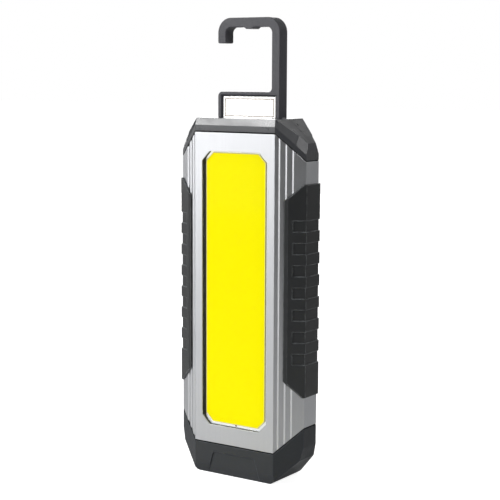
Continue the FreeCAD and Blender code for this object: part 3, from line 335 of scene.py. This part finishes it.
def shrink_sleeve():
    """Glossy shrink film over the cells, slightly wrinkled."""
    color = (0.03, 0.16, 0.42)
    surface = Surface("shrink_sleeve", color, 0.25, Coat_Weight=0.4)
    wrinkles = surface.noise(3 * MM, 3, stretch=(1, 1, 4))
    surface.put("Base Color", surface.mix(wrinkles, shade(color, 0.8), shade(color, 1.2)))
    surface.put("Roughness", surface.remap(wrinkles, *NOISE, 0.18, 0.34))
    surface.relief(wrinkles, 0.1 * MM)
    return surface.material


def make_plastics():
    """The plastics and rubbers: each slot's colour, roughness, grain, depth and other levels."""
    return {
        # An edge level paints rounded edges paler, a painted highlight with a little wear; the
        # grips' level of 9 is almost all painted highlight.
        "cap_plastic": moulded("cap_plastic", (0.06, 0.063, 0.07), 0.3, 0.3 * MM, 0.02 * MM,
                               edge=2, Specular_IOR_Level=0.8),
        "base_plastic": moulded("base_plastic", (0.027, 0.031, 0.036), 0.42, 0.3 * MM, 0.03 * MM,
                                edge=3, rounding=0.5 * MM),
        "hook_plastic": moulded("hook_plastic", (0.08, 0.08, 0.092), 0.46, 0.42 * MM, 0.06 * MM),
        "grip_rubber": moulded("grip_rubber", (0.028, 0.03, 0.031), 0.36, 0.3 * MM, 0.02 * MM,
                               edge=9, rounding=0.55 * MM),
        "seal_rubber": moulded("seal_rubber", (0.008, 0.008, 0.009), 0.7, 0.3 * MM, 0.03 * MM,
                               Specular_IOR_Level=0.2),
        # The dam's pale yellow is partly the silicone's own tint and partly a painted glow from
        # the phosphor beside it.
        "dam_silicone": moulded("dam_silicone", (0.95, 0.9, 0.35), 0.4, 0.5 * MM, 0.02 * MM,
                                edge=1.1),
        "holder_plastic": moulded("holder_plastic", (0.02, 0.02, 0.022), 0.5, 0.3 * MM, 0.03 * MM),
        "component_black": moulded("component_black", (0.015, 0.015, 0.016), 0.45, 0.25 * MM,
                                   0.02 * MM),
        "wire_red": moulded("wire_red", (0.45, 0.02, 0.02), 0.4, 0.5 * MM, 0.01 * MM),
        "switch_cream": moulded("switch_cream", (0.6, 0.55, 0.4), 0.4, 0.3 * MM, 0.02 * MM),
    }


def make_materials():
    """One material for each slot of the record."""
    return {
        **make_plastics(),
        "aluminium_body": anodised_aluminium(),
        "lens_clear": clear_lens(),
        "phosphor": phosphor_coating(),
        # The light board's emission of 0.6 is a painted glow that keeps its white margins bright.
        "light_board": circuit_board("light_board", (0.93, 0.93, 0.9), (0.85, 0.84, 0.78),
                                     BOARD_WHITE_HALF_WIDTH, Emission_Strength=0.6),
        "thermal_tape": soft_pad("thermal_tape", (0.45, 0.52, 0.62), 0.4 * MM),
        "plate_aluminium": brushed_metal("plate_aluminium", (0.75, 0.76, 0.77), (1, 1, 50), 0.35),
        "steel": brushed_metal("steel", (0.56, 0.57, 0.58), (30, 1, 1), 0.3),
        "nickel": polished_nickel(),
        "cell_wrap": shrink_sleeve(),
        "circuit_board": circuit_board("circuit_board", (0.01, 0.12, 0.05), (0.03, 0.22, 0.09),
                                       NO_BORDER),
        "foam": soft_pad("foam", (0.09, 0.09, 0.1), 0.6 * MM),
    }


def dress_nodes(materials):
    """Gives every CAD node the material of its slot in the record."""
    slots = {part["node"]: part["material_slot"] for part in frame["record"]["subparts"]}
    for name, item in nodes.items():
        material = materials[slots[name]]
        if not item.material_slots:
            item.data.materials.append(material)
        for place in item.material_slots:
            place.material = material


# ---------------------------------------------------------------- adhesive, painted-shade lining and solder

def add_mesh(name, build, body, material, smooth):
    """A mesh piece built by build(bmesh) that rides on a CAD body."""
    shape = bmesh.new()
    build(shape)
    mesh = bpy.data.meshes.new(name)
    shape.to_mesh(mesh)
    shape.free()
    for polygon in mesh.polygons:
        polygon.use_smooth = smooth
    piece = bpy.data.objects.new(name, mesh)
    bpy.context.scene.collection.objects.link(piece)
    mesh.materials.append(material)
    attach(piece, body)


def join_loops(shape, first, second):
    """Faces between two closed loops that have as many vertices."""
    count = len(first)
    for step in range(count):
        after = (step + 1) % count
        shape.faces.new((first[step], second[step], second[after], first[after]))


def add_dome(shape, centre, radius, height, around=20, rings=5):
    """A dome that points to -Y, from its rim to its crown."""
    previous = None
    for ring in range(rings):
        lift = math.radians(90) * ring / rings
        reach = radius * math.cos(lift)
        rise = height * math.sin(lift)
        loop = []
        for step in range(around):
            turn = 2 * math.pi * step / around
            spot = Vector((math.cos(turn) * reach, -rise, math.sin(turn) * reach))
            loop.append(shape.verts.new(centre + spot))
        if previous:
            join_loops(shape, previous, loop)
        else:
            shape.faces.new(loop)
        previous = loop
    crown = shape.verts.new(centre - Vector((0, height, 0)))
    for step in range(around):
        shape.faces.new((previous[step], crown, previous[(step + 1) % around]))


def cut_rectangle(middle, half_width, half_height, corner):
    """The (X, Z) points round a rectangle whose corners are cut at 45 degrees."""
    quarter = ((half_width, half_height - corner), (half_width - corner, half_height))
    points = []
    for flip_x, flip_z, order in ((1, 1, 1), (-1, 1, -1), (-1, -1, 1), (1, -1, -1)):
        points += [(flip_x * x, middle + flip_z * z) for x, z in quarter[::order]]
    return points


def outline_band(outer, inner, front, back):
    """A builder of the ring between two outlines, from a front to a back face in Y."""
    def build(shape):
        corners = ((outer, front), (inner, front), (inner, back), (outer, back))
        loops = [[shape.verts.new((x, y, z)) for x, z in outline] for outline, y in corners]
        for number, loop in enumerate(loops):
            join_loops(shape, loop, loops[(number + 1) % len(loops)])

    return build


def add_solder():
    """A low bead where the panel's lead meets the board, at its lower end."""
    material = moulded("solder", (0.36, 0.2, 0.08), 0.3, 0.3 * MM, 0.02 * MM, edge=1.3)
    radius, height = 0.6 * MM, 0.25 * MM
    board_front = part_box("led_board")[0].y
    below_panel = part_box("phosphor_panel")[0].z - 0.85 * MM
    spot = Vector((0, board_front, below_panel))

    def build(shape):
        add_dome(shape, spot, radius, height)

    add_mesh("solder_bead", build, "housing", material, smooth=True)


def add_window_shade_lining():
    """A black lining that fills the gap between the window and the body's wall: painted shade for
    the window's shaded inner walls.
    """
    # Painted shade: this thin black lining darkens the window's inner walls where only shade
    # falls.
    material = moulded("window_shade_black", (0.03, 0.03, 0.02), 0.5, 0.5 * MM, 0.02 * MM)
    below_face, depth = 0.15 * MM, 1.2 * MM
    low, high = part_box("led_board")
    middle = (low.z + high.z) / 2
    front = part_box("lens")[0].y + below_face

    def outline(inset):
        return cut_rectangle(middle, WINDOW_HALF_WIDTH - inset, WINDOW_HALF_HEIGHT - inset,
                             WINDOW_CORNER)

    outer = outline(BAND_CLEARANCE)
    inner = outline(WINDOW_GAP - BAND_CLEARANCE)
    band = outline_band(outer, inner, front, front + depth)
    add_mesh("window_shade_lining", band, "housing", material, smooth=False)


def add_magnet_glue():
    """Glue that sets the magnet in its cup: a thin brown line round it."""
    material = moulded("brown_glue", (0.3, 0.17, 0.1), 0.4, 0.5 * MM, 0.02 * MM, edge=1.1)
    below_face, depth = 0.05 * MM, 1 * MM
    low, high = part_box("magnet_block")
    middle = (low.z + high.z) / 2

    def outline(outset, corner):
        return cut_rectangle(middle, high.x + outset, high.z - middle + outset, corner)

    outer = outline(MAGNET_GAP - BAND_CLEARANCE, 0.05 * MM)
    inner = outline(BAND_CLEARANCE, 0.15 * MM)
    band = outline_band(outer, inner, low.y + below_face, low.y + depth)
    add_mesh("magnet_glue", band, "hook", material, smooth=False)


# ---------------------------------------------------------------- floor, light and camera

def make_floor():
    """A pale floor that fades to plain white away from the light."""
    size, near, far = 12, 0.15, 0.8
    bpy.ops.mesh.primitive_plane_add(size=size)
    floor = bpy.context.object
    floor.name = "floor"
    pale, dark = (0.85, 0.85, 0.85), (0.15, 0.15, 0.15)
    surface = Surface("floor_white", pale, 0.8)
    distance = surface.nodes.new("ShaderNodeVectorMath")
    distance.operation = "LENGTH"
    surface.links.new(surface.place, distance.inputs[0])
    away = surface.remap(distance.outputs["Value"], near, far)
    surface.put("Base Color", surface.mix(away, pale, dark))
    seen = surface.nodes.new("ShaderNodeLightPath").outputs["Is Camera Ray"]
    surface.put("Emission Color", WHITE)
    glow = surface.remap(distance.outputs["Value"], near, far, 0.85, 1.05)
    glow_on_object = 0.05
    surface.put("Emission Strength",
                surface.math("MAXIMUM", surface.math("MULTIPLY", seen, glow), glow_on_object))
    floor.data.materials.append(surface.material)


def make_softbox(name, place, target, size, radiance):
    """A rectangular lamp that faces a point, as bright all over as its radiance."""
    lamp = bpy.data.lights.new(name, "AREA")
    lamp.shape = "RECTANGLE"
    lamp.size, lamp.size_y = size
    lamp.energy = radiance * math.pi * size[0] * size[1]
    item = bpy.data.objects.new(name, lamp)
    item.location = place
    item.rotation_euler = (Vector(target) - Vector(place)).to_track_quat("-Z", "Y").to_euler()
    bpy.context.scene.collection.objects.link(item)


def make_light():
    """A large key lamp in front on the left, and cards for what the faces mirror.

    front_card and plate_card show in the front's faces and the magnet, left_card in the left
    flank, back_card in the right side, right_top_card in the cap's right slopes, and
    back_top_card and back_left_card in the faces that look up.
    """
    body_middle = (0, 0, 0.12)
    lamps = (
        # name, place, (width, height), radiance
        ("key", (-0.95, -1.38, 0.85), (0.8, 0.57), 15.6),
        ("front_card", (-0.96, -0.89, 0.04), (0.42, 0.36), 4.0),
        ("plate_card", (-0.64, -1.12, 0.06), (0.42, 0.34), 1.3),
        ("left_card", (-1.1, 0.1, 0.3), (0.4, 0.8), 1.1),
        ("back_card", (0.75, 0.95, 0.3), (0.7, 0.8), 0.4),
        ("back_top_card", (0.1, 0.95, 0.75), (1.0, 0.6), 0.6),
        ("back_left_card", (-0.8, 1.3, 0.3), (0.9, 0.7), 6),
        ("right_top_card", (0.95, -0.25, 0.85), (0.3, 0.3), 10.8),
    )
    for name, place, size, radiance in lamps:
        make_softbox(name, place, body_middle, size, radiance)


def make_world():
    """A white backdrop for the camera, which lights the object only dimly."""
    seen_strength, lighting_strength = 1.0, 0.02
    world = bpy.data.worlds.new("white_room")
    bpy.context.scene.world = world
    world.use_nodes = True
    tree = world.node_tree
    room = tree.nodes["Background"]
    room.inputs["Color"].default_value = WHITE
    room.inputs["Strength"].default_value = lighting_strength
    backdrop = tree.nodes.new("ShaderNodeBackground")
    backdrop.inputs["Color"].default_value = WHITE
    backdrop.inputs["Strength"].default_value = seen_strength
    rays = tree.nodes.new("ShaderNodeLightPath")
    blend = tree.nodes.new("ShaderNodeMixShader")
    tree.links.new(rays.outputs["Is Camera Ray"], blend.inputs["Fac"])
    tree.links.new(room.outputs["Background"], blend.inputs[1])
    tree.links.new(backdrop.outputs["Background"], blend.inputs[2])
    tree.links.new(blend.outputs["Shader"], tree.nodes["World Output"].inputs["Surface"])


def make_camera():
    """A long lens from the front right, a little above the light."""
    place = (0.3695, -0.5481, 0.1984)
    yaw, pitch, roll = (math.radians(angle) for angle in (33.94, 7.48, 0.23))
    back = Vector((math.sin(yaw) * math.cos(pitch), -math.cos(yaw) * math.cos(pitch),
                   math.sin(pitch)))
    level = Vector((math.cos(yaw), math.sin(yaw), 0))
    upright = back.cross(level)
    right = level * math.cos(roll) + upright * math.sin(roll)
    up = back.cross(right)
    camera = bpy.data.cameras.new("camera")
    camera.sensor_width = 36
    camera.lens = 97.9
    item = bpy.data.objects.new("camera", camera)
    turn = Matrix((right, up, back)).transposed().to_4x4()
    item.matrix_world = Matrix.Translation(place) @ turn
    bpy.context.scene.collection.objects.link(item)
    bpy.context.scene.camera = item
    bpy.context.scene.view_settings.view_transform = "Standard"


dress_nodes(make_materials())
add_solder()
add_window_shade_lining()
add_magnet_glue()
make_floor()
make_light()
make_world()
make_camera()
